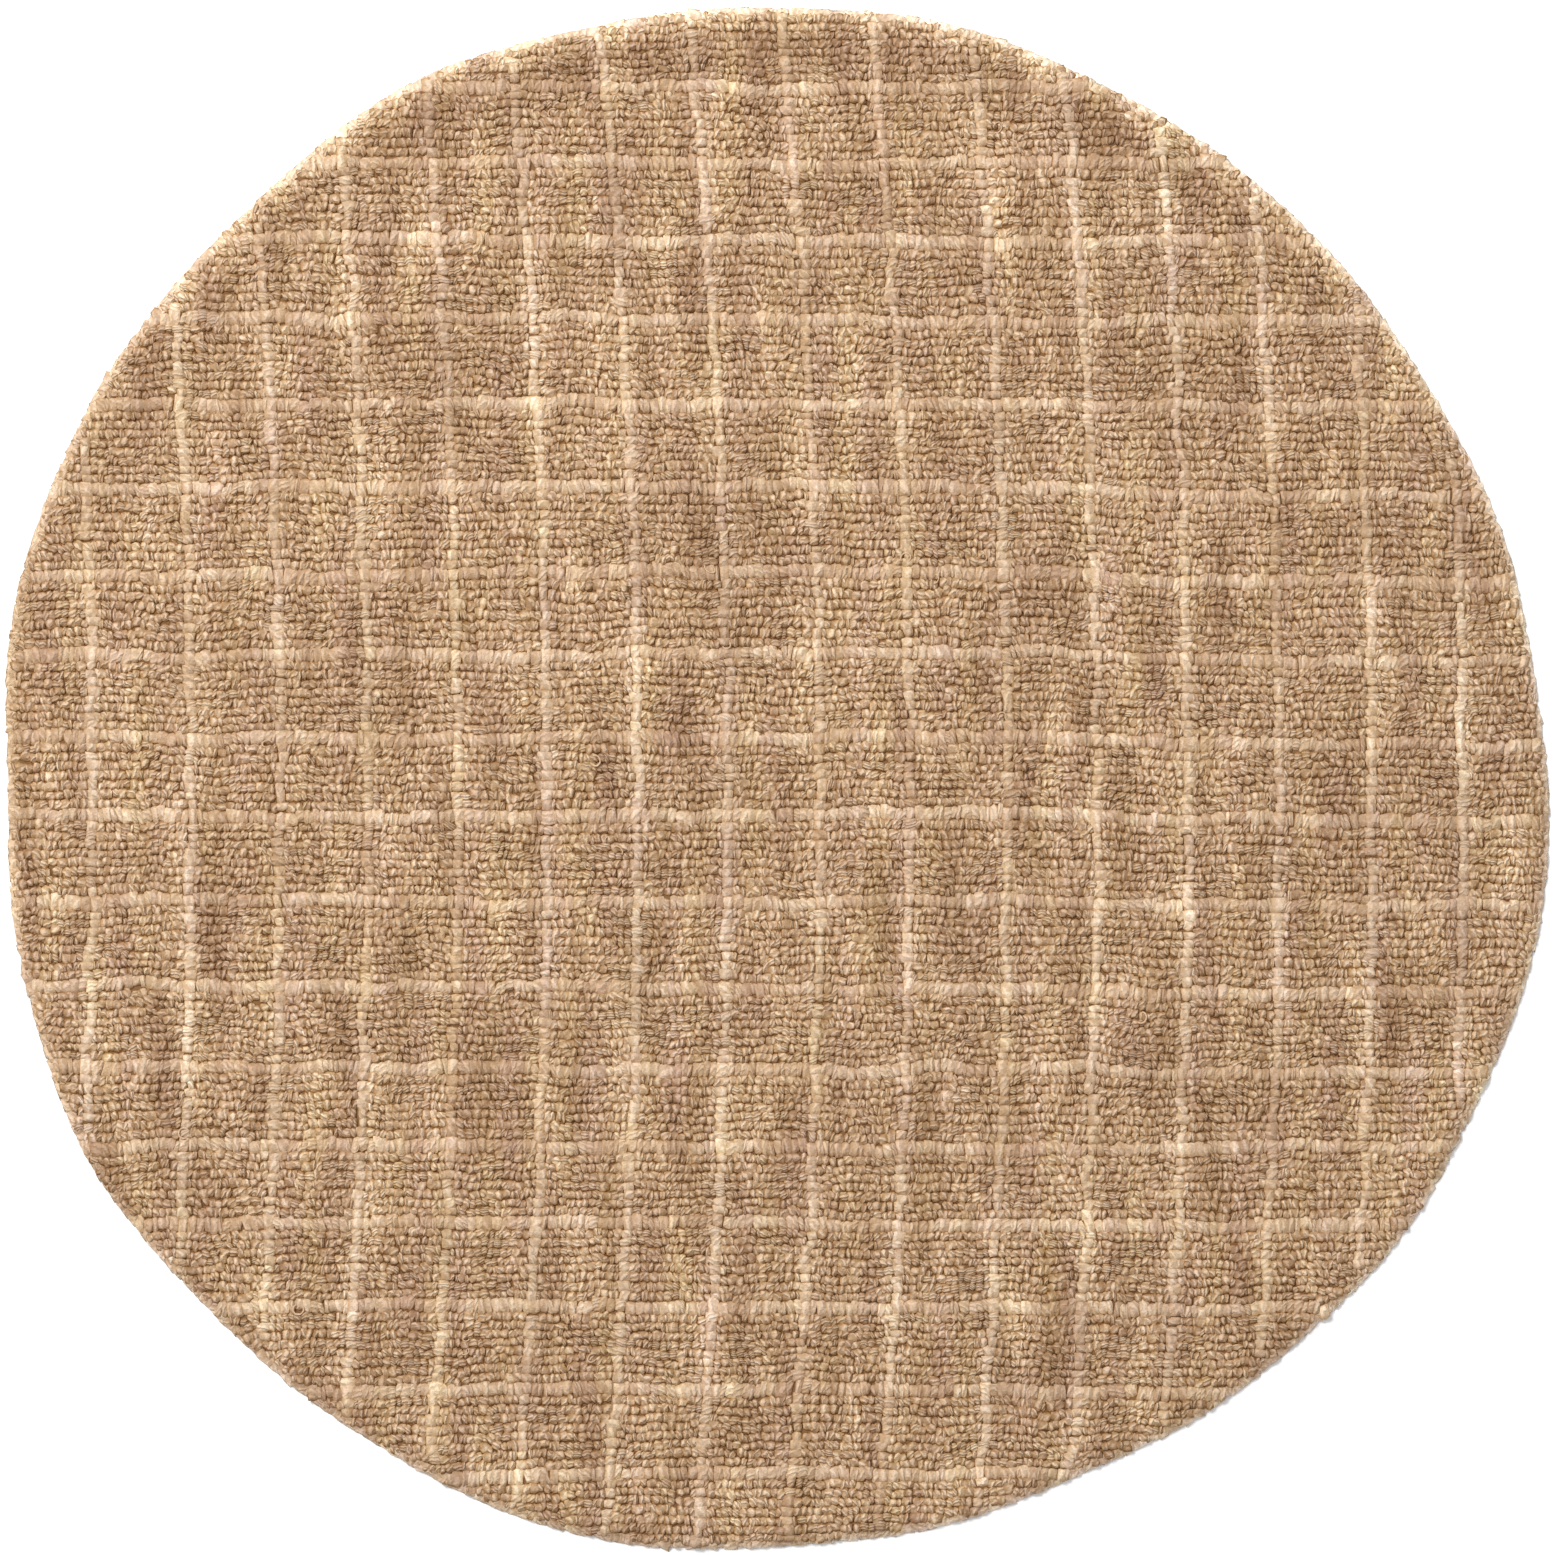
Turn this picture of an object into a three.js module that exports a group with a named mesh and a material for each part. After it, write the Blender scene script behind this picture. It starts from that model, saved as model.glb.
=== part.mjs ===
// Round looped-pile wool rug, about 6 ft across, lying flat.
// Millimetres, +Z up. The underside lies on z = 0, and the outline's box is centred on the Z axis.
// Rows of yarn loops run along X across the field, and one more row of loops follows the rim.
import * as THREE from "three";
import { mergeVertices } from "three/addons/utils/BufferGeometryUtils.js";

// Outline: a circle that swells in and out
const MEAN_RADIUS = 917;
// waves: how many go round the rim; height: in mm; turn: in degrees
const SWELLS = [
  { waves: 2, height: 2.0, turn: 47 },
  { waves: 3, height: 5.9, turn: 32 },
  { waves: 4, height: 3.0, turn: 100 },
  { waves: 5, height: 1.7, turn: 90 },
  { waves: 6, height: 1.3, turn: -149 },
  { waves: 7, height: 2.6, turn: -29 },
  { waves: 8, height: 2.8, turn: 138 },
  { waves: 9, height: 1.7, turn: -5 },
  { waves: 11, height: 1.0, turn: 141 },
  { waves: 12, height: 1.1, turn: 122 },
  { waves: 14, height: 0.7, turn: 101 },
  { waves: 15, height: 0.9, turn: 65 },
  { waves: 16, height: 1.1, turn: -164 },
  { waves: 19, height: 1.0, turn: -17 },
];

// Heights above the floor
const CREST_HEIGHT = 12;
const VALLEY_HEIGHT = 9;
const UNEVENNESS = 0.5;
const UNEVEN_LENGTH = 90;

// The rim's row of loops, from the field out and down to the floor.
// inset: how far in from the outline; height: above the floor
const RIM = [
  { inset: 14, height: VALLEY_HEIGHT },
  { inset: 6, height: CREST_HEIGHT - 0.5 },
  { inset: 0, height: 5 },
  { inset: 3, height: 0 },
];

// Rows of the field, from the far edge (+Y) to the near one
const ROW_PITCH = 10.5;
const PALE_ROW_WIDTH = 16;
const PALE_CREST_WIDTH = 7;
const FIRST_PALE_ROW = 819;
// From each pale row's middle to the next one's
const PANE_HEIGHTS = [
  89, 93.5, 94.5, 99.5, 98, 103, 94.5, 98.5, 92.5, 101.5, 102, 96, 93.5, 91, 98.5, 99.5, 99.5,
];
const CREST_END_GAP = 5;

// How the rows stray from straight lines
const WANDER = 2;
const WANDER_LENGTH = 250;
const SAG = 8;
const SAG_STARTS = 300;
const SAG_FULL = 480;
const SAG_FAR_Y = 420;
const SAG_NEAR_Y = -400;
const SAG_FADE = 70;

// Fineness of the mesh
const SPANS_PER_ROW = 5;
const RIM_STEP = 0.03;
const BISECTIONS = 45;
const WELD = 1e-4;

const { degToRad, lerp, smoothstep } = THREE.MathUtils;
const HALF_TURN = Math.PI;
const QUARTER_TURN = Math.PI / 2;

function radiusAt(angle) {
  return SWELLS.reduce(
    (radius, { waves, height, turn }) => radius + height * Math.cos(waves * angle + degToRad(turn)),
    MEAN_RADIUS,
  );
}

function polarPoint(angle, inset) {
  const radius = radiusAt(angle) - inset;
  return new THREE.Vector2(radius * Math.cos(angle), radius * Math.sin(angle));
}

function outlineBox() {
  const box = new THREE.Box2();
  for (let angle = 0; angle < 2 * Math.PI; angle += RIM_STEP / 10) {
    box.expandByPoint(polarPoint(angle, 0));
  }
  return box;
}

const OUTLINE_BOX = outlineBox();
const SHIFT = OUTLINE_BOX.getCenter(new THREE.Vector2()).negate();
const FIELD_REACH = OUTLINE_BOX.getSize(new THREE.Vector2()).y / 2 - RIM[0].inset;

function rimPoint(angle, inset) {
  return polarPoint(angle, inset).add(SHIFT);
}

// A slow lumpiness of the whole pile, from 0 to 1
function lump(x, y) {
  return 0.5 + 0.25 * (Math.sin(x / UNEVEN_LENGTH + y / 150) + Math.cos(y / UNEVEN_LENGTH - x / 210));
}

function raised(point, height) {
  const share = height / CREST_HEIGHT;
  return new THREE.Vector3(point.x, point.y, height - UNEVENNESS * share * lump(point.x, point.y));
}

// A row's line at x, for the line that would lie at y if it were straight
function strayed(x, y) {
  const inSag =
    smoothstep(x, SAG_STARTS, SAG_FULL) *
    smoothstep(-y, -SAG_FAR_Y, SAG_FADE - SAG_FAR_Y) *
    smoothstep(y, SAG_NEAR_Y, SAG_NEAR_Y + SAG_FADE);
  return y + WANDER * Math.sin(x / WANDER_LENGTH + y / 170) - SAG * inSag;
}

// The value between low and high at which f changes sign
function root(f, low, high) {
  const below = f(low) < 0;
  for (let i = 0; i < BISECTIONS; i++) {
    const middle = (low + high) / 2;
    if (f(middle) < 0 === below) low = middle;
    else high = middle;
  }
  return (low + high) / 2;
}

// The angle at which a row's line meets the field's edge
function rowEnd(y, onLeft) {
  const middle = onLeft ? HALF_TURN : 0;
  const above = (angle) => {
    const point = rimPoint(angle, RIM[0].inset);
    return point.y - strayed(point.x, y);
  };
  return root(above, middle - QUARTER_TURN, middle + QUARTER_TURN);
}

// The angle at which the field's edge has this x, on the far or the near side
function edgeAbove(x, onFarSide) {
  const low = onFarSide ? 0 : HALF_TURN;
  return root((angle) => rimPoint(angle, RIM[0].inset).x - x, low, low + HALF_TURN);
}

// The rows' straight places: far and near edge, and whether the row is a pale one
function layRows() {
  const rows = [];
  const addPlain = (far, near) => {
    const count = Math.max(1, Math.round((far - near) / ROW_PITCH));
    for (let i = 0; i < count; i++) {
      const pitch = (near - far) / count;
      rows.push({ far: far + i * pitch, near: far + (i + 1) * pitch, pale: false });
    }
  };
  let far = FIELD_REACH;
  let middle = FIRST_PALE_ROW;
  for (const height of [...PANE_HEIGHTS, 0]) {
    const pale = { far: middle + PALE_ROW_WIDTH / 2, near: middle - PALE_ROW_WIDTH / 2, pale: true };
    addPlain(far, pale.far);
    rows.push(pale);
    far = pale.near;
    middle -= height;
  }
  addPlain(far, -FIELD_REACH);
  return rows;
}

// A line of points across the field from left to right, between two x, at one height
function lineAcross(left, right, y, height) {
  return Array.from({ length: SPANS_PER_ROW + 1 }, (_, i) => {
    const x = lerp(left, right, i / SPANS_PER_ROW);
    return raised(new THREE.Vector2(x, strayed(x, y)), height);
  });
}

function edgePoint(angle) {
  return raised(rimPoint(angle, RIM[0].inset), RIM[0].height);
}

// Angles from one to another, with steps between them no longer than RIM_STEP
function anglesBetween(from, to) {
  const steps = Math.max(1, Math.ceil(Math.abs(to - from) / RIM_STEP));
  return Array.from({ length: steps + 1 }, (_, i) => lerp(from, to, i / steps));
}

class Shell {
  corners = [];
  edgeAngles = new Set();

  triangle(a, b, c) {
    this.corners.push(a, b, c);
  }

  // The band between two lines of points, the second on the right of the first as one walks along it
  band(first, second) {
    for (let i = 0; i + 1 < first.length; i++) {
      this.triangle(second[i], second[i + 1], first[i + 1]);
      this.triangle(second[i], first[i + 1], first[i]);
    }
  }

  // The row's slope at one end, from its crests to the field's edge
  rowEndSlope(crests, angles, onLeft) {
    const edge = angles.map(edgePoint);
    const outline = [...edge, ...crests.slice(1).reverse()];
    for (let i = 0; i + 1 < outline.length; i++) {
      if (onLeft) this.triangle(crests[0], outline[i], outline[i + 1]);
      else this.triangle(crests[0], outline[i + 1], outline[i]);
    }
    angles.forEach((angle) => this.edgeAngles.add(angle));
  }

  geometry() {
    const made = new THREE.BufferGeometry().setFromPoints(this.corners);
    return mergeVertices(made, WELD);
  }
}

// One row: a rib with sloping sides and ends
function addRow(shell, row, isFirst, isLast) {
  const middle = (row.far + row.near) / 2;
  const crestEnds = [true, false].map((onLeft) => {
    const end = rimPoint(rowEnd(middle, onLeft), RIM[0].inset).x;
    return onLeft ? end + CREST_END_GAP : end - CREST_END_GAP;
  });
  const crestLines = row.pale
    ? [middle + PALE_CREST_WIDTH / 2, middle - PALE_CREST_WIDTH / 2]
    : [middle];
  const crests = crestLines.map((y) => lineAcross(...crestEnds, y, CREST_HEIGHT));

  const side = (y, isOutermost, onFarSide) => {
    if (isOutermost) {
      const angles = crests[0].map((point) => edgeAbove(point.x, onFarSide));
      angles.forEach((angle) => shell.edgeAngles.add(angle));
      return { points: angles.map(edgePoint), leftAngle: angles[0], rightAngle: angles.at(-1) };
    }
    const leftAngle = rowEnd(y, true);
    const rightAngle = rowEnd(y, false);
    const points = lineAcross(edgePoint(leftAngle).x, edgePoint(rightAngle).x, y, VALLEY_HEIGHT);
    points[0] = edgePoint(leftAngle);
    points[points.length - 1] = edgePoint(rightAngle);
    return { points, leftAngle, rightAngle };
  };
  const far = side(row.far, isFirst, true);
  const near = side(row.near, isLast, false);

  const lines = [far.points, ...crests, near.points];
  for (let i = 0; i + 1 < lines.length; i++) shell.band(lines[i], lines[i + 1]);

  const leftCrests = crests.map((line) => line[0]);
  const rightCrests = crests.map((line) => line.at(-1));
  const nearRight = isLast ? near.rightAngle - 2 * Math.PI : near.rightAngle;
  shell.rowEndSlope(leftCrests, anglesBetween(far.leftAngle, near.leftAngle), true);
  shell.rowEndSlope(rightCrests, anglesBetween(far.rightAngle, nearRight), false);
}

// The rim's row of loops and the flat underside
function addRimAndUnderside(shell) {
  const full = 2 * Math.PI;
  const angles = [...shell.edgeAngles].map((angle) => (angle + full) % full).sort((a, b) => a - b);
  const around = [...angles, angles[0]];
  const rings = RIM.map(({ inset, height }) =>
    around.map((angle) => raised(rimPoint(angle, inset), height)),
  );
  for (let i = 0; i + 1 < rings.length; i++) shell.band(rings[i], rings[i + 1]);
  const lowest = rings.at(-1);
  const middle = new THREE.Vector3();
  for (let i = 0; i + 1 < lowest.length; i++) shell.triangle(middle, lowest[i + 1], lowest[i]);
}

function rugGeometry() {
  const shell = new Shell();
  const rows = layRows();
  rows.forEach((row, i) => addRow(shell, row, i === 0, i === rows.length - 1));
  addRimAndUnderside(shell);
  return shell.geometry();
}

const wool = new THREE.MeshStandardMaterial({ color: 0xb99878, roughness: 1, metalness: 0 });

const rug = new THREE.Mesh(rugGeometry(), wool);
rug.name = "rug";

const model = new THREE.Group();
model.add(rug);

export default model;
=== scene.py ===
"""A round looped-pile wool rug on a pale floor, seen from straight above.

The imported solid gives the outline. Rows of yarn loops are laid across it, one more row follows the rim, some
yarn ends lie curled on top, and a thin backing lies under them all. Sizes named here are in millimetres, but
for the stage, and the meshes are made in metres.
"""

import math
from collections import namedtuple

import bmesh
import bpy
import numpy as np
from mathutils import Matrix, Vector


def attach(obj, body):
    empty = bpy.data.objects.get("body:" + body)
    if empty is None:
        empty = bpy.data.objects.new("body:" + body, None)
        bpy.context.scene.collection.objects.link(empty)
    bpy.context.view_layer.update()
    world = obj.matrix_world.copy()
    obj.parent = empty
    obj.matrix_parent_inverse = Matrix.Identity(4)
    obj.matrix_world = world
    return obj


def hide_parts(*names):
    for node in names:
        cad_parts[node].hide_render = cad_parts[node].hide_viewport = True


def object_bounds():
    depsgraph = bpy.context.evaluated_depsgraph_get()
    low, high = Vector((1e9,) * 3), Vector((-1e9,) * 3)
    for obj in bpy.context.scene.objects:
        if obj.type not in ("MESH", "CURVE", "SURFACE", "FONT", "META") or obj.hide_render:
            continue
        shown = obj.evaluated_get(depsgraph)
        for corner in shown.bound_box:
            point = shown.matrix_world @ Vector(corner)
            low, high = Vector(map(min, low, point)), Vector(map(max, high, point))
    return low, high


MM = 0.001
SEED = 29
FULL_TURN = 2 * math.pi
MEAN_RADIUS = 915
# Heights between which the solid's widest ring of points lies
RIM_WIDEST = (4, 6)

# The photograph's frame
FRAME_WIDTH = 1840.8
FRAME_SHIFT_Y = 1.2
CAMERA_HEIGHT = 6000
SENSOR_WIDTH = 36

# Stage, in metres and watts
CLIP_END = 100
FLOOR_SIZE = 30
FLOOR_GAP = 0.0005
FLOOR_WHITE = (0.95, 0.95, 0.95)
FLOOR_ROUGHNESS = 0.9
SKY_WHITE = (1, 1, 1)
SKY_STRENGTH = 0.60
LAMP_PLACE = (-3.4, 4.2, 6.5)
LAMP_SIZE = 3
LAMP_POWER = 680

# Rows of the field, far to near, as the solid has them
ROW_PITCH = 10.5
PALE_ROW_WIDTH = 16
FIRST_PALE_ROW = 819
PANE_HEIGHTS = (89, 93.5, 94.5, 99.5, 98, 103, 94.5, 98.5, 92.5, 101.5, 102, 96, 93.5, 91, 98.5, 99.5, 99.5)
# How far inside the outline the field, each row's ends and each loop's middle stay
FIELD_INSET = 8
ROW_INSET = (4, 9)
ROW_STEP = 1.0
LOOP_INSET = 7

# How the rows stray from straight lines, as the solid's do, and more finely
WANDER = 2
WANDER_LENGTH = 250
WANDER_CHANGE = 170
SAG = 8
SAG_STARTS = 300
SAG_FULL = 480
SAG_FAR_Y = 420
SAG_NEAR_Y = -400
SAG_FADE = 70
FAN_SIZE = 1.7
EDGE_SIZE = 1.1
# Smooth random drifts: waves in each, and their lengths against the one asked for
DRIFT_WAVES = 28
DRIFT_LENGTHS = (0.5, 2.0)

# Pale columns at mid-height, left to right, and how they bow
FIRST_COLUMN = -811
PANE_WIDTHS = (117, 105.5, 104, 106.5, 105.5, 107.5, 106.5, 109, 106.5, 116, 106.5, 107.5, 107.5, 110, 107.5)
COLUMN_BOW = 33
BOW_REACH = 793
BOW_MIDDLE = -37
COLUMN_WIDTH = 12.6
COLUMN_WANDER = 1.5
COLUMN_JITTER = 0.9
COLUMN_LIFT = 0.6
# How much of the column's colour its loops take: from column to column, along each, and from loop to loop
COLUMN_STRENGTH = (0.66, 0.98)
COLUMN_FADING = 0.22
COLUMN_MIX = 0.20
# How much lighter a loop is where a column crosses a pale row
CROSSING_LIGHT = 1.08
# Loops beside a column take up to this share of its colour, less with distance
COLUMN_BLEED = 0.6
COLUMN_BLEED_REACH = (7, 16)

# Loops. Each is one bend of a thick yarn, upright in its row.
# full: its width and length, against its share of the row
# corner, tip: how far its side corners and its tips reach along it
# its painted shades: the painted shade of its foot and shoulder, and the painted highlight of its crown
# turn: how far it may turn, in plan; sizes: how much its width and length vary
# shift: how far it may sit off its row's middle; pitch: from loop to loop; spread: how much that varies
# A column's loops lie where their rows put them, so these last three are left out for them.
LoopStyle = namedtuple(
    "LoopStyle", "full corner tip shades turn sizes shift pitch spread", defaults=(0, 0, 0)
)
GROUND_STYLE = LoopStyle(
    full=(1.16, 1.03), corner=0.72, tip=1.14, shades=(0.34, 0.75, 1.16), turn=0.20, sizes=0.10,
    shift=0.8, pitch=7.6, spread=0.45
)
PALE_STYLE = LoopStyle(
    full=(1.20, 1.06), corner=0.84, tip=1.08, shades=(0.50, 0.88, 1.06), turn=0.14, sizes=0.09,
    shift=0.9, pitch=8.0, spread=0.45
)
COLUMN_STYLE = LoopStyle(
    full=(1.05, 1.18), corner=0.82, tip=1.10, shades=(0.44, 0.86, 1.07), turn=0.12, sizes=0.15
)
RIM_STYLE = LoopStyle(
    full=(1.45, 1.0), corner=0.94, tip=1.0, shades=(0.93, 0.97, 1.02), turn=0.12, sizes=0.08,
    shift=1.0, pitch=9.0, spread=0.40
)
LOOP_SIDES = 6
# Rings of a loop: size and rise
LOOP_RINGS = ((1.12, 0.0), (0.97, 0.42), (0.46, 1.0))
# Rises that part its foot, shoulder and crown
LEVELS = (0.1, 0.9)
# Its points this near the line along it are at its tips
TIP_WIDTH = 0.1
SHOULDER_LIFT = 0.12
ROOT_HEIGHT = 7.0
CREST_HEIGHT = 11.4
LUMP_SIZE = 0.38
LOOP_HEIGHT_SPREAD = 0.36
LOOP_SIDEWAYS = 0.6
CORNER_SPREAD = 0.07
CROWN_LEAN = 0.17
CROWN_SHIFT = 0.13
CROWN_TILT = 0.35
NEAR_TAPER = 0.12
PATCH_TURN = 0.14
PLIES = (0.8, 1.5)
PLY_SLANT = 0.4
PATCH_SLANT = 0.5
SPOT_SHADE = 0.08

# Rim loops lean outwards, down to the floor
RIM_LENGTH = 12
RIM_DROP = 3.0
RIM_FOOT = 0.4
RIM_FALL = 4.5
# Where along a rim loop it starts to fall, and where it is all the way down
FALL_REACH = (-0.5, 1.1)
# Painted light on the rim's fallen tips: how much paler they are, and how that changes across and along the
# rug
RIM_LIGHT = 1.6
RIM_LIGHT_ACROSS = 0.35
RIM_LIGHT_ALONG = -0.4
# The field sinks a little towards the rim
EDGE_SINK = 3.0
EDGE_SINK_REACH = (4, 17)
# Painted light and shade in bands inside the rim: change of shade, and the reach over which it goes
FAR_PALE_BAND = 0.50
FAR_PALE_REACH = (16, 41)
FAR_DARK_BAND = -0.24
FAR_DARK_REACH = (42, 105)
NEAR_DARK_BAND = -0.20
NEAR_DARK_REACH = (18, 32)
NEAR_PALE_BAND = 0.09
NEAR_PALE_REACH = (35, 100)

# Backing
BACKING_INSET = 4
BACKING_THICKNESS = 7.6
BACKING_BEVEL = 11
BACKING_STEPS = 360

GROUND_PIECES = 5

# Yarn ends that lie curled on the pile
CURLS = 58
CURL_REACH = 860
CURL_SIDES = 5
CURL_STEPS = 10
CURL_RADIUS = (3.5, 7)
CURL_THICKNESS = 0.17
CURL_ANGLES = (2.4, 3.6, 5.0)
CURL_OVAL = (0.6, 1.1)
CURL_TILT = 0.12
CURL_LIFT = 0.5

# Wool finish
WOOL_ROUGHNESS = 0.95
WOOL_SHINE = 0.05
# Height of the plies, and how much darker it is between them, a painted shade
GROUND_PLIES = (0.65, 0.37)
PALE_PLIES = (0.45, 0.22)
# How much lighter the plies are, a painted highlight, against how much darker it is between them
PLY_LIGHT = 0.4
PLY_STRAY = 1.1
PLY_STRAY_SCALE = 180
FUZZ_SCALE = 450
FUZZ_DETAIL = 2
FUZZ_HEIGHT = 0.6
# Fuzz between these values goes from the darkest to the lightest fleck
FUZZ_REACH = (0.3, 0.7)
FLECKS = (0.87, 1.11)

# Backing cloth finish
CLOTH_ROUGHNESS = 0.95
CLOTH_SHINE = 0.1
THREAD_SCALE = 150
THREAD_STRAY = 0.6
THREAD_HEIGHT = 0.3

SCREEN_WHITE = 255
SCREEN_GAMMA = 2.2


def linear(red, green, blue):
    """A colour given as it looks on screen, from 0 to 255, in scene light."""
    return np.array([(c / SCREEN_WHITE) ** SCREEN_GAMMA for c in (red, green, blue)])


# Yarn colours
GROUND = linear(189.8, 157.4, 123.8)
COLUMN = linear(202, 174.3, 145)
PALE_CREAM = linear(203.5, 175.6, 146)
PALE_TAN = linear(191.5, 160.2, 130.2)
# Painted light: the rim's yarn turns cream on the far side, where the window lights it, and is tan elsewhere
LIT_RIM_CREAM = linear(210, 182, 155)
RIM_TAN = linear(190, 161, 131)
CURL_CREAM = linear(218, 187, 155)
# Painted shade: the yarn's roots, darker than the yarn, for the shade deep in the pile
SHADED_ROOTS = linear(126, 92, 60)
CLOTH_SHADE = linear(150, 128, 100)
CLOTH_LIGHT = linear(205, 188, 160)
# How fast red, green and blue fade in darker places: in the painted shade deep in the pile, from patch to
# patch, and in a loop, as under its painted ply shade
DEEP_FADE = np.array([0.55, 1.0, 1.82])
PATCH_FADE = np.array([0.79, 1.0, 1.09])
FINE_FADE = np.array([0.80, 1.0, 1.28])
# How much the shade varies: with the patch, with the broad patch, and from loop to loop
PATCH_SHADE = 0.09
BROAD_PATCH_SHADE = 0.055
LOOP_SHADE = 0.075
# Hues that the patches take, in red, green and blue; mix: how much they vary from loop to loop
BLUSH_SIZE = 0.0014
BLUSH_MIX = 0.2
BLUSH_HUE = np.array([1, -1, -0.5])
STRAW_SIZE = 0.024
STRAW_MIX = 0.3
STRAW_HUE = np.array([0, 0.2, -1])
# Values of its drift between which the pale yarn goes from tan to cream
CREAM_REACH = (-0.5, 0.5)

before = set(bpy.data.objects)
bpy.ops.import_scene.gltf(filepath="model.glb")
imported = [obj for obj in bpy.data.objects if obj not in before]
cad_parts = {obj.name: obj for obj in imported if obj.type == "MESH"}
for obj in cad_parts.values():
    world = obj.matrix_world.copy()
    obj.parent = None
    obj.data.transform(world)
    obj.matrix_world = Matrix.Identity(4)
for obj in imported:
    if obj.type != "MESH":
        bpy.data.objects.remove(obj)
cad_low, cad_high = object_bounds()
rng = np.random.default_rng(SEED)


# Outline

def widest_ring():
    """Turn and radius of the solid's widest ring, in order round the rim."""
    points = np.array([v.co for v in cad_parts["rug"].data.vertices]) / MM
    low, high = RIM_WIDEST
    ring = points[(points[:, 2] > low) & (points[:, 2] < high)]
    turn = np.arctan2(ring[:, 1], ring[:, 0])
    order = np.argsort(turn)
    return turn[order], np.hypot(ring[:, 0], ring[:, 1])[order]


RING_TURN, RING_RADIUS = widest_ring()
RING_STEP = np.diff(RING_TURN, append=RING_TURN[0] + FULL_TURN)


def edge_radius(turn):
    return np.interp(turn, RING_TURN, RING_RADIUS, period=FULL_TURN)


def inset_at(x, y):
    """How far inside the outline each point lies."""
    return edge_radius(np.arctan2(y, x)) - np.hypot(x, y)


# Smooth random drifts

class Drift:
    """A smooth random field, about 1 in size, with lumps about one length across."""

    def __init__(self, length, stretch=1.0):
        turn = rng.uniform(0, FULL_TURN, DRIFT_WAVES)
        pace = FULL_TURN / (2 * length * rng.uniform(*DRIFT_LENGTHS, DRIFT_WAVES))
        self.along = pace * np.cos(turn) / stretch
        self.across = pace * np.sin(turn)
        self.start = rng.uniform(0, FULL_TURN, DRIFT_WAVES)
        self.size = math.sqrt(2 / DRIFT_WAVES)

    def __call__(self, x, y):
        x, y = np.broadcast_arrays(np.asarray(x, float), np.asarray(y, float))
        phase = x[..., None] * self.along + y[..., None] * self.across + self.start
        return np.cos(phase).sum(-1) * self.size


FAN = Drift(length=60, stretch=1.7)
EDGE = Drift(length=42, stretch=0.4)
LUMP = Drift(length=45)
LEAN = Drift(length=30, stretch=1.6)
COLUMN_DRIFT = Drift(length=35)
SHADE = Drift(length=100, stretch=0.2)
BROAD_SHADE = Drift(length=100)
BLUSH = Drift(length=50, stretch=0.3)
STRAW = Drift(length=100, stretch=0.2)
PALE_STRETCH = Drift(length=55)
FADING = Drift(length=200)


def smooth(value, low, high):
    """From 0 at the low value to 1 at the high one, with a soft start and end."""
    t = np.clip((value - low) / (high - low), 0, 1)
    return t * t * (3 - 2 * t)


def band(inset, size, reach):
    """A size that is full at the rim and gone at the inner end of its reach."""
    return size * (1 - smooth(inset, *reach))


def strayed(x, y):
    """The y of a row's line at x, for the line that would lie at y if it were straight."""
    across = smooth(x, SAG_STARTS, SAG_FULL)
    from_far = smooth(-y, -SAG_FAR_Y, SAG_FADE - SAG_FAR_Y)
    from_near = smooth(y, SAG_NEAR_Y, SAG_NEAR_Y + SAG_FADE)
    in_sag = across * from_far * from_near
    wander = WANDER * np.sin(x / WANDER_LENGTH + y / WANDER_CHANGE)
    return y + wander - SAG * in_sag + FAN_SIZE * FAN(x, y) + EDGE_SIZE * EDGE(x, y)


# Rows and columns

Row = namedtuple("Row", "far near pale")


def lay_rows():
    """Straight places of the rows, from far to near."""
    reach = (cad_high.y - cad_low.y) / MM / 2 - FIELD_INSET
    rows = []

    def add_plain(far, near):
        count = max(1, round((far - near) / ROW_PITCH))
        edges = np.linspace(far, near, count + 1)
        rows.extend(Row(a, b, False) for a, b in zip(edges, edges[1:]))

    far, middle = reach, FIRST_PALE_ROW
    for height in (*PANE_HEIGHTS, 0):
        add_plain(far, middle + PALE_ROW_WIDTH / 2)
        far = middle - PALE_ROW_WIDTH / 2
        rows.append(Row(middle + PALE_ROW_WIDTH / 2, far, True))
        middle -= height
    add_plain(far, -reach)
    return rows


COLUMNS = FIRST_COLUMN + np.concatenate([[0], np.cumsum(PANE_WIDTHS)])
COLUMN_PALENESS = rng.uniform(*COLUMN_STRENGTH, len(COLUMNS))


def bow(y):
    """How far left of its place at mid-height each column lies at y."""
    return COLUMN_BOW * ((y - BOW_MIDDLE) / BOW_REACH) ** 2


def columns_at(y):
    """The x of each pale column where it crosses the row at y."""
    bowed = COLUMNS - bow(y)
    return bowed + COLUMN_WANDER * COLUMN_DRIFT(bowed, y) + rng.normal(0, COLUMN_JITTER, len(COLUMNS))


def row_reach(row):
    """The x of the row's left and right end, each at its own distance from the rim."""
    reach = cad_high.x / MM
    x = np.arange(-reach, reach, ROW_STEP)
    inset = inset_at(x, strayed(x, (row.far + row.near) / 2))
    first, last = rng.uniform(*ROW_INSET, 2)
    return x[inset > first][0], x[inset > last][-1]


def shares_of(count, spread):
    """Uneven shares of a span, as the places where they end, from 0 to 1."""
    shares = 1 + spread * rng.uniform(-1, 1, count)
    return np.cumsum(shares) / shares.sum()


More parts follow.
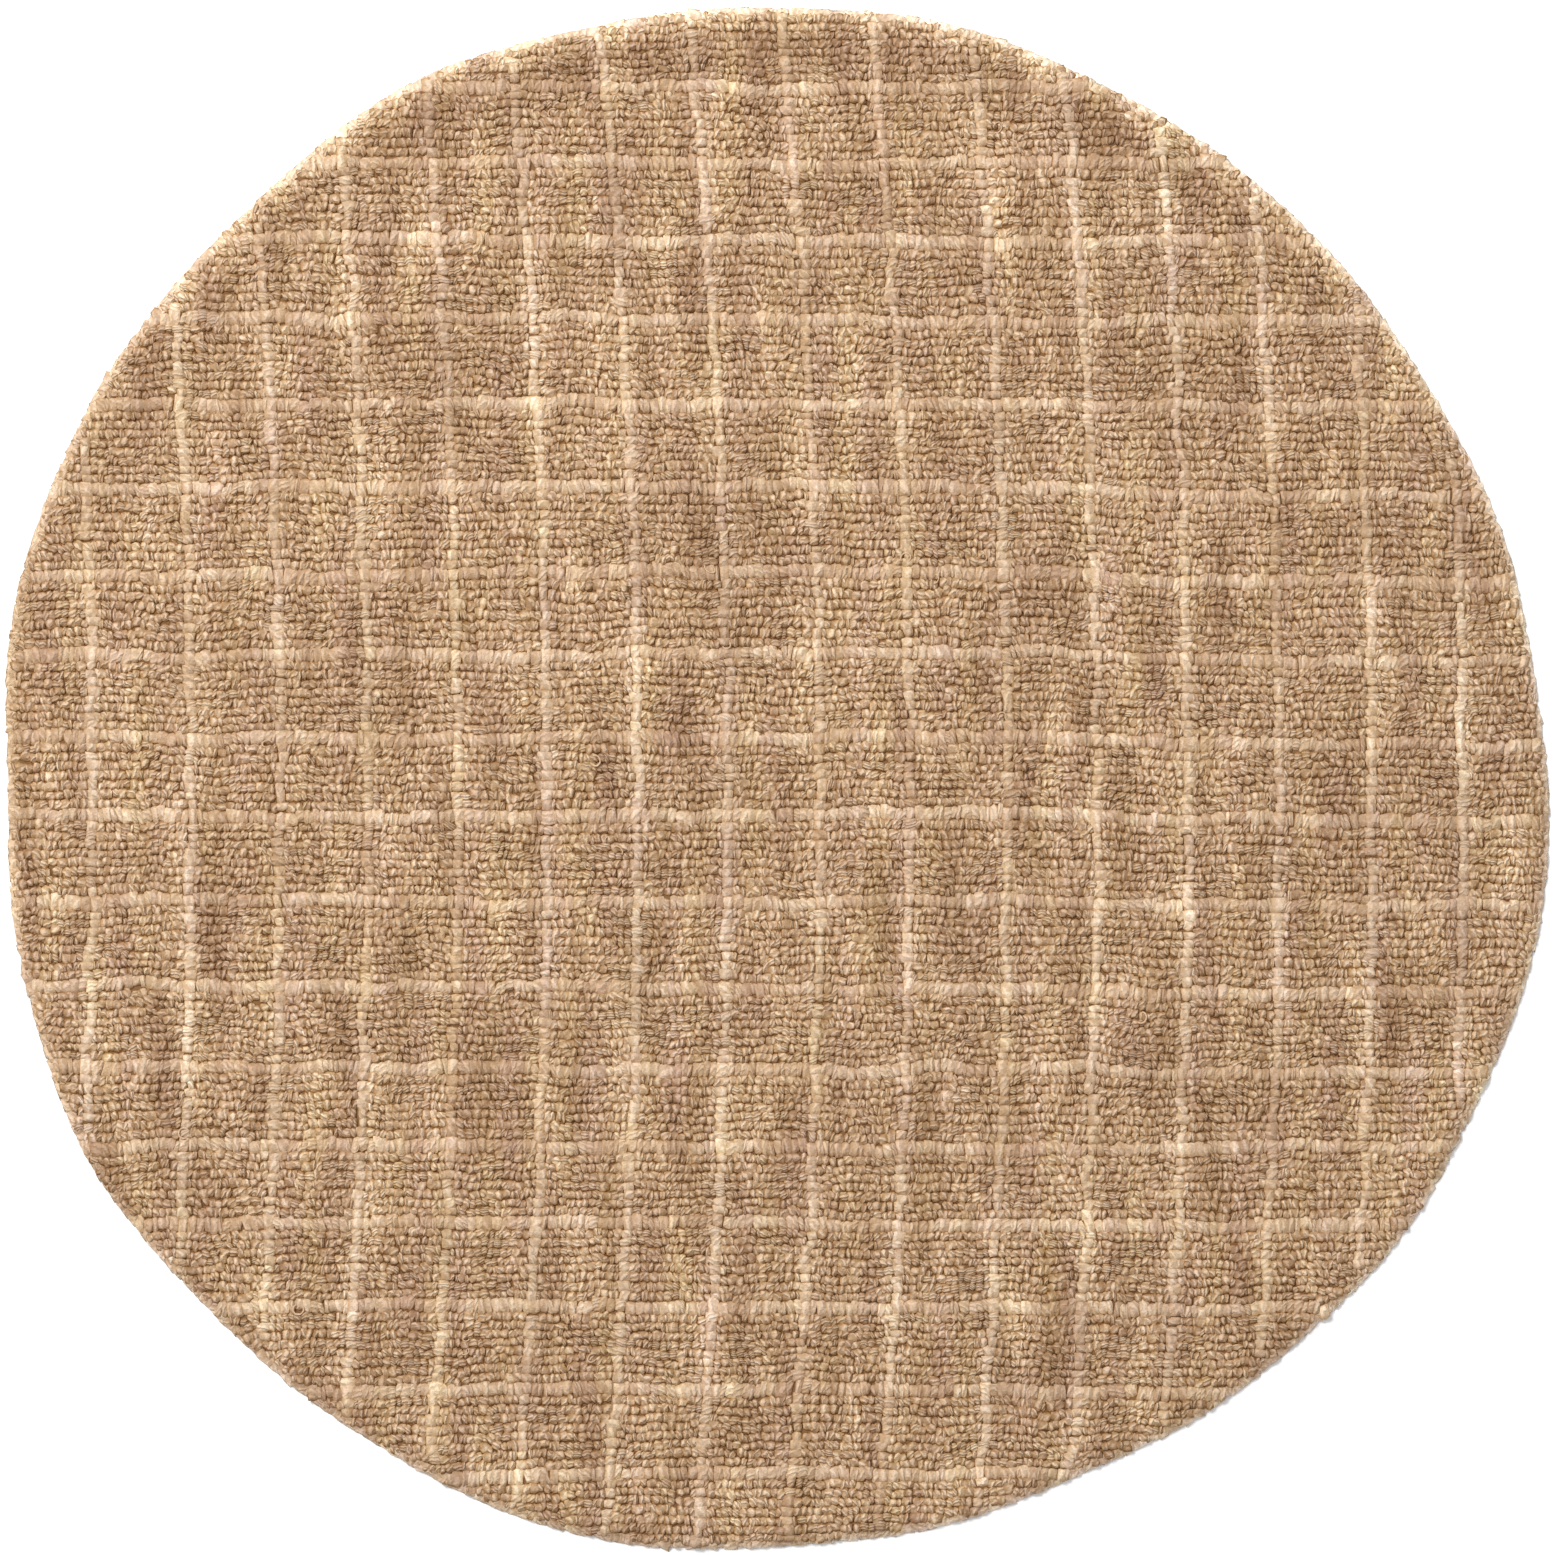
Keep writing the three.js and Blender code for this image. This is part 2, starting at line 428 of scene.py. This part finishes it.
def lay_loops(row, style):
    """Ends of a row's loops from left to right, and which loops lie in a pale column."""
    left, right = row_reach(row)
    ends, columns = [left], []

    def fill(end):
        count = round((end - ends[-1]) / style.pitch)
        if count < 1:
            ends[-1] = end
            return
        ends.extend(ends[-1] + shares_of(count, style.spread) * (end - ends[-1]))
        columns.extend([False] * count)

    for crossing in columns_at((row.far + row.near) / 2):
        start, end = crossing - COLUMN_WIDTH / 2, crossing + COLUMN_WIDTH / 2
        if start > left + style.pitch and end < right - style.pitch:
            fill(start)
            ends.append(end)
            columns.append(True)
    fill(right)
    return np.array(ends), np.array(columns)


def column_share(x, y, columns):
    """How much of the nearest column's colour each loop takes."""
    straight = x + bow(y)
    apart = np.abs(straight[:, None] - COLUMNS)
    strength = COLUMN_PALENESS[apart.argmin(axis=1)] + COLUMN_FADING * FADING(x, y)
    strength += rng.normal(0, COLUMN_MIX, len(x))
    bleed = COLUMN_BLEED * rng.uniform(0, 1, len(x)) * (1 - smooth(apart.min(axis=1), *COLUMN_BLEED_REACH))
    return strength * np.where(columns, 1, bleed)


# Yarn colour of each loop

def shaded(colour, shade, fade):
    """A colour under a shade, each channel at its own pace."""
    return colour * np.asarray(shade)[..., None] ** fade


def heather(colour, x, y):
    """Each loop's colour, with the shade and hue of its patch and its own, and the painted light and shade of
    the bands inside the rim.
    """
    count = len(x)
    patch = PATCH_SHADE * SHADE(x, y) + BROAD_PATCH_SHADE * BROAD_SHADE(x, y)
    shade = patch + rng.normal(0, LOOP_SHADE, count) + painted_rim_bands(x, y)
    blush = BLUSH_SIZE * (BLUSH(x, y) + rng.normal(0, BLUSH_MIX, count))
    straw = STRAW_SIZE * (STRAW(x, y) + rng.normal(0, STRAW_MIX, count))
    tint = blush[:, None] * BLUSH_HUE + straw[:, None] * STRAW_HUE
    return shaded(colour * np.exp(tint), np.exp(shade), PATCH_FADE)


def painted_rim_bands(x, y):
    """Painted light and shade: the far rim is pale with a painted shadow band inside it, and the near rim is
    darker.
    """
    inset = inset_at(x, y)
    side = y / (np.hypot(x, y) + 1)
    far = band(inset, FAR_PALE_BAND, FAR_PALE_REACH) + band(inset, FAR_DARK_BAND, FAR_DARK_REACH)
    near = band(inset, NEAR_DARK_BAND, NEAR_DARK_REACH) + band(inset, NEAR_PALE_BAND, NEAR_PALE_REACH)
    return far * np.maximum(side, 0) + near * np.maximum(-side, 0)


def row_colours(row, x, y, columns):
    """The colour of each loop of a row."""
    if row.pale:
        cream = smooth(PALE_STRETCH(x, y), *CREAM_REACH)[:, None]
        colour = PALE_TAN + (PALE_CREAM - PALE_TAN) * cream
    else:
        colour = np.broadcast_to(GROUND, (len(x), 3)).copy()
    colour += column_share(x, y, columns)[:, None] * (COLUMN - colour)
    if row.pale:
        colour[columns] *= CROSSING_LIGHT
    return heather(colour, x, y)


# Loops

def taken_from(shape):
    """Points and faces of a finished shape, with its faces outwards."""
    bmesh.ops.recalc_face_normals(shape, faces=shape.faces)
    shape.verts.index_update()
    points = np.array([v.co for v in shape.verts])
    faces = [[v.index for v in f.verts] for f in shape.faces]
    shape.free()
    return points, faces


def one_loop():
    """Points and faces of a loop, about 1 in half-width and half-length, foot at rise 0 and crown at 1."""
    shape = bmesh.new()
    bmesh.ops.create_circle(shape, cap_ends=True, segments=LOOP_SIDES, radius=1)
    for corner in shape.verts:
        corner.co.x = 0 if abs(corner.co.x) < TIP_WIDTH else math.copysign(1, corner.co.x)
        corner.co.y = math.copysign(1, corner.co.y)
    reached_size, reached_rise = LOOP_RINGS[0]
    bmesh.ops.scale(shape, verts=shape.verts, vec=Vector((reached_size, reached_size, 1)))
    top = shape.faces[:][0]
    for size, rise in LOOP_RINGS[1:]:
        raised = bmesh.ops.extrude_face_region(shape, geom=[top, *top.edges])["geom"]
        ring = [v for v in raised if isinstance(v, bmesh.types.BMVert)]
        top = next(f for f in raised if isinstance(f, bmesh.types.BMFace))
        bmesh.ops.translate(shape, verts=ring, vec=Vector((0, 0, rise - reached_rise)))
        bmesh.ops.scale(shape, verts=ring, vec=Vector((size / reached_size, size / reached_size, 1)))
        reached_size, reached_rise = size, rise
    for corner in shape.verts:
        if abs(corner.co.x) > TIP_WIDTH and LEVELS[0] < corner.co.z < LEVELS[1]:
            corner.co.z += SHOULDER_LIFT
    return taken_from(shape)


LOOP_POINTS, LOOP_FACES = one_loop()
LOOP_LEVEL = np.searchsorted(LEVELS, LOOP_POINTS[:, 2])
AT_CROWN = LOOP_LEVEL == len(LEVELS)
AT_TIP = np.abs(LOOP_POINTS[:, 0]) < TIP_WIDTH
LOOP_SMOOTH = [bool(max(LOOP_LEVEL[face]) > 0) for face in LOOP_FACES]

# Loops to be made. place: middle in plan; half: half-width and half-length
# turn: of its length from the y direction; top: height of the crown
# fall: how far the outer end goes down to the floor, from 0 to 1
# Its painted shades are the painted shade of its foot and shoulder and the painted highlight of its crown
Loops = namedtuple("Loops", "place half turn top fall colour shades style")


def loop_meshes(loops):
    """Points, colours and yarn coordinates of loops, each as loops by points."""
    count = len(loops.turn)
    across, along, rise = LOOP_POINTS.T
    along = along * np.where(AT_TIP, loops.style.tip, loops.style.corner)
    uneven = rng.normal(1, CORNER_SPREAD, (count, len(across)))
    crown = np.where(AT_CROWN, 1.0, 0.0)
    slip = rng.normal((0, CROWN_LEAN), CROWN_SHIFT, (count, 2))
    tapered = across * (1 + NEAR_TAPER * along * (1 - loops.fall[:, None]))
    a = (tapered * uneven + crown * slip[:, :1]) * loops.half[:, :1]
    b = (along * uneven + crown * slip[:, 1:]) * loops.half[:, 1:]
    tilt = rng.normal(0, CROWN_TILT, (count, 2))
    down = loops.fall[:, None] * smooth(along, *FALL_REACH)
    sink = band(inset_at(*loops.place.T), EDGE_SINK, EDGE_SINK_REACH) * (1 - loops.fall)
    root = ROOT_HEIGHT - sink[:, None] - down * (ROOT_HEIGHT - RIM_FOOT)
    top = loops.top[:, None] - sink[:, None] - down * RIM_FALL + tilt[:, :1] * across + tilt[:, 1:] * along
    sine, cosine = np.sin(loops.turn)[:, None], np.cos(loops.turn)[:, None]
    points = np.empty((count, len(across), 3))
    points[..., 0] = loops.place[:, :1] + a * cosine - b * sine
    points[..., 1] = loops.place[:, 1:] + a * sine + b * cosine
    points[..., 2] = root + rise * (top - root)

    spots = np.exp(rng.normal(0, SPOT_SHADE, (count, len(across))))
    # Painted light on the rim's fallen tips
    painted_tip_light = 1 + down * (painted_rim_light(*loops.place.T)[:, None] - 1)
    # Painted shade at each loop's foot and shoulder, and a painted highlight on its crown
    colours = shaded(loops.colour[:, None, :], loops.shades[:, LOOP_LEVEL], DEEP_FADE)
    plies = rng.uniform(*PLIES, count)[:, None]
    yarn = np.empty((count, len(across), 3))
    yarn[..., 0] = rng.uniform(0, 1, count)[:, None] + across * plies / 2
    yarn[..., 1] = along
    yarn[..., 2] = PLY_SLANT * rng.normal(0, 1, count)[:, None] + PATCH_SLANT * LEAN(*loops.place.T)[:, None]
    return points, shaded(colours, spots * painted_tip_light, FINE_FADE), yarn


def only(loops, chosen, style):
    """The chosen ones of some loops, in a style."""
    return Loops(*(values[chosen] for values in loops[:-1]), style)


def painted_rim_light(x, y):
    """Painted light: the rim's fallen tips are paler, and more so on the side away from the window."""
    return RIM_LIGHT + (RIM_LIGHT_ACROSS * x + RIM_LIGHT_ALONG * y) / MEAN_RADIUS


def row_of_loops(row):
    """A row's loops, and which of them lie in a pale column."""
    style = PALE_STYLE if row.pale else GROUND_STYLE
    ends, columns = lay_loops(row, style)
    count = len(columns)
    x = (ends[:-1] + ends[1:]) / 2 + rng.normal(0, LOOP_SIDEWAYS, count) * ~columns
    far, near = strayed(x, row.far), strayed(x, row.near)
    y = (far + near) / 2 + rng.normal(0, style.shift, count)
    full = np.where(columns[:, None], COLUMN_STYLE.full, style.full)
    sizes = np.where(columns, COLUMN_STYLE.sizes, style.sizes)[:, None]
    full = full * np.exp(sizes * rng.normal(0, 1, (count, 2)))
    half = np.stack([np.diff(ends) / 2, (far - near) / 2], axis=1) * full
    turn = PATCH_TURN * LEAN(x, y) + style.turn * rng.normal(0, 1, count)
    turn[columns] *= COLUMN_STYLE.turn / GROUND_STYLE.turn
    top = CREST_HEIGHT + LUMP_SIZE * LUMP(x, y) + rng.normal(0, LOOP_HEIGHT_SPREAD, count)
    top[columns] += COLUMN_LIFT
    colour = row_colours(row, x, y, columns)
    shades = np.where(columns[:, None], COLUMN_STYLE.shades, style.shades)
    loops = Loops(np.stack([x, y], axis=1), half, turn, top, np.zeros(count), colour, shades, style)
    inside = inset_at(x, y) > LOOP_INSET
    return only(loops, inside, style), columns[inside]


class Heap:
    """Many copies of one shape, each with its own points and colours, gathered into one mesh."""

    def __init__(self, faces, rounded):
        self.faces, self.rounded = faces, rounded
        self.points, self.colours, self.yarn = [], [], []

    def add(self, points, colours, yarn):
        self.points.append(points)
        self.colours.append(colours)
        self.yarn.append(yarn)

    def piece(self, name, material):
        """The finished object, with the yarn's colour, painted light and shade included, and the strands' run
        as attributes.
        """
        points = np.concatenate(self.points)
        count, each = points.shape[:2]
        starts = (np.arange(count) * each).tolist()
        faces = [[start + i for i in face] for start in starts for face in self.faces]
        mesh = bpy.data.meshes.new(name)
        mesh.from_pydata((points.reshape(-1, 3) * MM).tolist(), [], faces)
        mesh.polygons.foreach_set("use_smooth", self.rounded * count)
        colours = np.concatenate(self.colours).reshape(-1, 3)
        rgba = np.concatenate([colours, np.ones((len(colours), 1))], axis=1)
        tone = mesh.attributes.new("yarn", "FLOAT_COLOR", "POINT")
        tone.data.foreach_set("color", rgba.ravel().astype(np.float32))
        strand = mesh.attributes.new("strand", "FLOAT_VECTOR", "POINT")
        strand.data.foreach_set("vector", np.concatenate(self.yarn).ravel().astype(np.float32))
        mesh.materials.append(material)
        made = bpy.data.objects.new(name, mesh)
        bpy.context.scene.collection.objects.link(made)
        return made


# Rim

def rim_of_loops():
    """One more row of loops all round, each pointing outwards."""
    length = float(np.sum(RING_RADIUS * RING_STEP))
    count = round(length / RIM_STYLE.pitch)
    ends = np.concatenate([[0], shares_of(count, RIM_STYLE.spread)]) * FULL_TURN
    around = (ends[:-1] + ends[1:]) / 2
    reach = edge_radius(around) - RIM_LENGTH / 2 - RIM_STYLE.shift * np.abs(rng.normal(0, 1, count))
    x, y = reach * np.cos(around), reach * np.sin(around)
    full = RIM_STYLE.full[0] * np.exp(RIM_STYLE.sizes * rng.normal(0, 1, count))
    long = RIM_STYLE.full[1] * RIM_LENGTH
    half = np.stack([np.diff(ends) * reach / 2 * full, np.full(count, long / 2)], axis=1)
    turn = around - FULL_TURN / 4 + RIM_STYLE.turn * rng.normal(0, 1, count)
    top = CREST_HEIGHT - RIM_DROP + rng.normal(0, LOOP_HEIGHT_SPREAD, count)
    # Painted light: cream towards the far side, which faces the window
    far = np.maximum(np.sin(around), 0)[:, None]
    colour = heather(RIM_TAN + (LIT_RIM_CREAM - RIM_TAN) * far, x, y)
    shades = np.broadcast_to(RIM_STYLE.shades, (count, 3))
    return Loops(np.stack([x, y], axis=1), half, turn, top, np.ones(count), colour, shades, RIM_STYLE)


# Curled yarn ends

def one_curl(angle):
    """Points and faces of a thin yarn bent to part of a ring of radius 1."""
    shape = bmesh.new()
    bmesh.ops.create_circle(shape, cap_ends=True, segments=CURL_SIDES, radius=CURL_THICKNESS)
    bmesh.ops.rotate(shape, verts=shape.verts, cent=Vector(), matrix=Matrix.Rotation(FULL_TURN / 4, 3, "X"))
    bmesh.ops.translate(shape, verts=shape.verts, vec=Vector((1, 0, 0)))
    section = [*shape.verts, *shape.edges, *shape.faces]
    bmesh.ops.spin(
        shape, geom=section, cent=Vector(), axis=Vector((0, 0, 1)), dvec=Vector(), angle=angle,
        steps=CURL_STEPS, use_merge=False, use_normal_flip=False, use_duplicate=False
    )
    return taken_from(shape)


def curled_ends():
    """Points, colours and yarn coordinates of the curls, and the faces of one."""
    curls = []
    for i in range(CURLS):
        curl, faces = one_curl(CURL_ANGLES[i % len(CURL_ANGLES)])
        around, reach = rng.uniform(0, FULL_TURN), CURL_REACH * math.sqrt(rng.uniform(0, 1))
        size = rng.uniform(*CURL_RADIUS) * np.array([1, rng.uniform(*CURL_OVAL), 1])
        spin = Matrix.Rotation(rng.uniform(0, FULL_TURN), 3, "Z")
        curl = curl * size @ np.array(spin)
        curl[:, 2] += CREST_HEIGHT + CURL_LIFT + curl[:, :2] @ rng.normal(0, CURL_TILT, 2)
        curl[:, :2] += reach * np.array([math.cos(around), math.sin(around)])
        curls.append(curl)
    points = np.stack(curls)
    spots = np.exp(rng.normal(0, SPOT_SHADE, points.shape[:2]))
    colours = shaded(np.broadcast_to(CURL_CREAM, points.shape), spots, FINE_FADE)
    return points, colours, np.zeros(points.shape), faces


# Materials

def node(tree, kind, **settings):
    """A new shader node with the given settings."""
    made = tree.nodes.new(kind)
    for name, value in settings.items():
        setattr(made, name, value)
    return made


def wool(name, ply_height, painted_ply_shade):
    """Looped yarn: its colour from the mesh, with the painted light and shade it carries, plies that run along
    each loop with painted shade between them and painted highlights on them, and a fine fuzz.
    """
    material = bpy.data.materials.new(name)
    material.use_nodes = True
    tree = material.node_tree
    link = tree.links.new
    shader = tree.nodes["Principled BSDF"]
    shader.inputs["Roughness"].default_value = WOOL_ROUGHNESS
    shader.inputs["Specular IOR Level"].default_value = WOOL_SHINE
    yarn = node(tree, "ShaderNodeAttribute", attribute_name="yarn")
    strand = node(tree, "ShaderNodeAttribute", attribute_name="strand")
    split = node(tree, "ShaderNodeSeparateXYZ")
    link(strand.outputs["Vector"], split.inputs[0])
    place = node(tree, "ShaderNodeTexCoord")

    slant = node(tree, "ShaderNodeMath", operation="MULTIPLY")
    link(split.outputs["Y"], slant.inputs[0])
    link(split.outputs["Z"], slant.inputs[1])
    along = node(tree, "ShaderNodeMath", operation="ADD")
    link(split.outputs["X"], along.inputs[0])
    link(slant.outputs[0], along.inputs[1])
    stray = node(tree, "ShaderNodeTexNoise")
    stray.inputs["Scale"].default_value = PLY_STRAY_SCALE
    stray.inputs["Detail"].default_value = FUZZ_DETAIL
    link(place.outputs["Object"], stray.inputs["Vector"])
    strayed_along = node(tree, "ShaderNodeMath", operation="MULTIPLY_ADD")
    strayed_along.inputs[1].default_value = PLY_STRAY
    link(stray.outputs["Fac"], strayed_along.inputs[0])
    link(along.outputs[0], strayed_along.inputs[2])
    turned = node(tree, "ShaderNodeMath", operation="MULTIPLY")
    turned.inputs[1].default_value = FULL_TURN
    link(strayed_along.outputs[0], turned.inputs[0])
    wave = node(tree, "ShaderNodeMath", operation="COSINE")
    link(turned.outputs[0], wave.inputs[0])

    fuzz = node(tree, "ShaderNodeTexNoise")
    fuzz.inputs["Scale"].default_value = FUZZ_SCALE
    fuzz.inputs["Detail"].default_value = FUZZ_DETAIL
    link(place.outputs["Object"], fuzz.inputs["Vector"])

    # Painted shade between the plies and a painted highlight on them
    shade = node(tree, "ShaderNodeMapRange")
    shade.inputs["From Min"].default_value = -1
    shade.inputs["To Min"].default_value = 1 - painted_ply_shade
    shade.inputs["To Max"].default_value = 1 + PLY_LIGHT * painted_ply_shade
    link(wave.outputs[0], shade.inputs["Value"])
    fleck = node(tree, "ShaderNodeMapRange")
    fleck.inputs["From Min"].default_value = FUZZ_REACH[0]
    fleck.inputs["From Max"].default_value = FUZZ_REACH[1]
    fleck.inputs["To Min"].default_value = FLECKS[0]
    fleck.inputs["To Max"].default_value = FLECKS[1]
    link(fuzz.outputs["Fac"], fleck.inputs["Value"])
    both = node(tree, "ShaderNodeMath", operation="MULTIPLY")
    link(shade.outputs[0], both.inputs[0])
    link(fleck.outputs[0], both.inputs[1])
    faded = node(tree, "ShaderNodeCombineXYZ")
    for channel, pace in zip(faded.inputs, FINE_FADE):
        fade = node(tree, "ShaderNodeMath", operation="POWER")
        fade.inputs[1].default_value = pace
        link(both.outputs[0], fade.inputs[0])
        link(fade.outputs[0], channel)
    coloured = node(tree, "ShaderNodeVectorMath", operation="MULTIPLY")
    link(yarn.outputs["Color"], coloured.inputs[0])
    link(faded.outputs["Vector"], coloured.inputs[1])
    link(coloured.outputs["Vector"], shader.inputs["Base Color"])

    ridges = node(tree, "ShaderNodeMath", operation="MULTIPLY_ADD")
    ridges.inputs[1].default_value = FUZZ_HEIGHT
    link(fuzz.outputs["Fac"], ridges.inputs[0])
    link(wave.outputs[0], ridges.inputs[2])
    bump = node(tree, "ShaderNodeBump")
    bump.inputs["Strength"].default_value = 1
    bump.inputs["Distance"].default_value = ply_height * MM
    link(ridges.outputs[0], bump.inputs["Height"])
    link(bump.outputs["Normal"], shader.inputs["Normal"])
    return material


def backing_cloth():
    """Plain woven cotton under the pile."""
    material = bpy.data.materials.new("backing_cloth")
    material.use_nodes = True
    tree = material.node_tree
    link = tree.links.new
    shader = tree.nodes["Principled BSDF"]
    shader.inputs["Roughness"].default_value = CLOTH_ROUGHNESS
    shader.inputs["Specular IOR Level"].default_value = CLOTH_SHINE
    place = node(tree, "ShaderNodeTexCoord")
    warp = node(tree, "ShaderNodeTexWave", bands_direction="X")
    weft = node(tree, "ShaderNodeTexWave", bands_direction="Y")
    for threads in (warp, weft):
        threads.inputs["Scale"].default_value = THREAD_SCALE
        threads.inputs["Distortion"].default_value = THREAD_STRAY
        link(place.outputs["Object"], threads.inputs["Vector"])
    weave = node(tree, "ShaderNodeMath", operation="MULTIPLY")
    link(warp.outputs["Fac"], weave.inputs[0])
    link(weft.outputs["Fac"], weave.inputs[1])
    ramp = node(tree, "ShaderNodeValToRGB")
    ramp.color_ramp.elements[0].color = (*CLOTH_SHADE, 1)
    ramp.color_ramp.elements[1].color = (*CLOTH_LIGHT, 1)
    link(weave.outputs[0], ramp.inputs["Fac"])
    link(ramp.outputs["Color"], shader.inputs["Base Color"])
    bump = node(tree, "ShaderNodeBump")
    bump.inputs["Distance"].default_value = THREAD_HEIGHT * MM
    link(weave.outputs[0], bump.inputs["Height"])
    link(bump.outputs["Normal"], shader.inputs["Normal"])
    return material


def plain(name, colour, roughness):
    """A material of one colour."""
    material = bpy.data.materials.new(name)
    material.use_nodes = True
    shader = material.node_tree.nodes["Principled BSDF"]
    shader.inputs["Base Color"].default_value = (*colour, 1)
    shader.inputs["Roughness"].default_value = roughness
    return material


# Backing

def make_backing():
    """A thin slab just inside the outline, narrower at its top, of cloth below and the yarn's roots above,
    painted dark for the shade deep in the pile.
    """
    shell = bmesh.new()
    bmesh.ops.create_circle(shell, cap_ends=True, segments=BACKING_STEPS, radius=1)
    for corner in shell.verts:
        radius = edge_radius(math.atan2(corner.co.y, corner.co.x)) - BACKING_INSET
        corner.co *= radius * MM
    raised = bmesh.ops.extrude_face_region(shell, geom=shell.faces[:])
    top = [v for v in raised["geom"] if isinstance(v, bmesh.types.BMVert)]
    for corner in top:
        corner.co *= 1 - BACKING_BEVEL * MM / corner.co.length
        corner.co.z = BACKING_THICKNESS * MM
    bmesh.ops.recalc_face_normals(shell, faces=shell.faces)
    mesh = bpy.data.meshes.new("rug_backing")
    shell.to_mesh(mesh)
    shell.free()
    mesh.materials.append(backing_cloth())
    # Painted shade on the slab's top, where the roots lie
    mesh.materials.append(plain("yarn_roots_painted_shade", SHADED_ROOTS, roughness=1))
    for polygon in mesh.polygons:
        polygon.material_index = 0 if polygon.normal.z < 0 else 1
    made = bpy.data.objects.new("rug_backing", mesh)
    bpy.context.scene.collection.objects.link(made)
    return made


# Pile

def half_width_at(y):
    """Half the rug's width at y, near enough to share out the rows."""
    return math.sqrt(max(0, MEAN_RADIUS**2 - y**2))


def make_pile():
    """The ground's rows in several pieces, the pale rows and columns in one, the rim's row and the curls."""
    ground_wool = wool("ground_wool", *GROUND_PLIES)
    pale_wool = wool("pale_wool", *PALE_PLIES)
    rows = lay_rows()
    lengths = np.array([0 if row.pale else half_width_at(row.far) for row in rows])
    share = np.cumsum(lengths) / lengths.sum()
    ground = [Heap(LOOP_FACES, LOOP_SMOOTH) for _ in range(GROUND_PIECES)]
    pale = Heap(LOOP_FACES, LOOP_SMOOTH)
    for row, done in zip(rows, share):
        loops, columns = row_of_loops(row)
        if row.pale:
            pale.add(*loop_meshes(loops))
        else:
            pale.add(*loop_meshes(only(loops, columns, COLUMN_STYLE)))
            heap = ground[min(GROUND_PIECES - 1, int(done * GROUND_PIECES))]
            heap.add(*loop_meshes(only(loops, ~columns, GROUND_STYLE)))
    rim = Heap(LOOP_FACES, LOOP_SMOOTH)
    rim.add(*loop_meshes(rim_of_loops()))
    *curls, curl_faces = curled_ends()
    ends = Heap(curl_faces, [True] * len(curl_faces))
    ends.add(*curls)
    pieces = [heap.piece(f"ground_loops_{i + 1}", ground_wool) for i, heap in enumerate(ground)]
    pieces.append(pale.piece("pale_loops", pale_wool))
    pieces.append(rim.piece("rim_loops", pale_wool))
    pieces.append(ends.piece("curled_ends", pale_wool))
    return pieces


# Stage

def make_floor():
    """A plain pale floor."""
    bpy.ops.mesh.primitive_plane_add(size=FLOOR_SIZE, location=(0, 0, -FLOOR_GAP))
    floor = bpy.context.object
    floor.name = "floor"
    floor.data.materials.append(plain("floor_white", FLOOR_WHITE, FLOOR_ROUGHNESS))


def make_light():
    """An even studio sky and one soft window, at the far left."""
    world = bpy.data.worlds.new("studio")
    bpy.context.scene.world = world
    world.use_nodes = True
    background = world.node_tree.nodes["Background"]
    background.inputs["Color"].default_value = (*SKY_WHITE, 1)
    background.inputs["Strength"].default_value = SKY_STRENGTH
    lamp = bpy.data.lights.new("window", "AREA")
    lamp.shape = "DISK"
    lamp.size = LAMP_SIZE
    lamp.energy = LAMP_POWER
    key = bpy.data.objects.new("window", lamp)
    key.location = LAMP_PLACE
    aim = -key.location
    key.rotation_mode = "QUATERNION"
    key.rotation_quaternion = aim.to_track_quat("-Z", "Y")
    bpy.context.scene.collection.objects.link(key)


def make_camera():
    """The photograph's view, from straight above."""
    lens = bpy.data.cameras.new("camera")
    lens.sensor_width = SENSOR_WIDTH
    lens.lens = SENSOR_WIDTH * CAMERA_HEIGHT / FRAME_WIDTH
    lens.clip_end = CLIP_END
    camera = bpy.data.objects.new("camera", lens)
    camera.location = (0, FRAME_SHIFT_Y * MM, (CAMERA_HEIGHT + CREST_HEIGHT) * MM)
    bpy.context.scene.collection.objects.link(camera)
    bpy.context.scene.camera = camera


backing = make_backing()
pile = make_pile()
for piece in (backing, *pile):
    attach(piece, "root")
    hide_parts("rug")
make_floor()
make_light()
make_camera()
bpy.context.scene.view_settings.view_transform = "Standard"
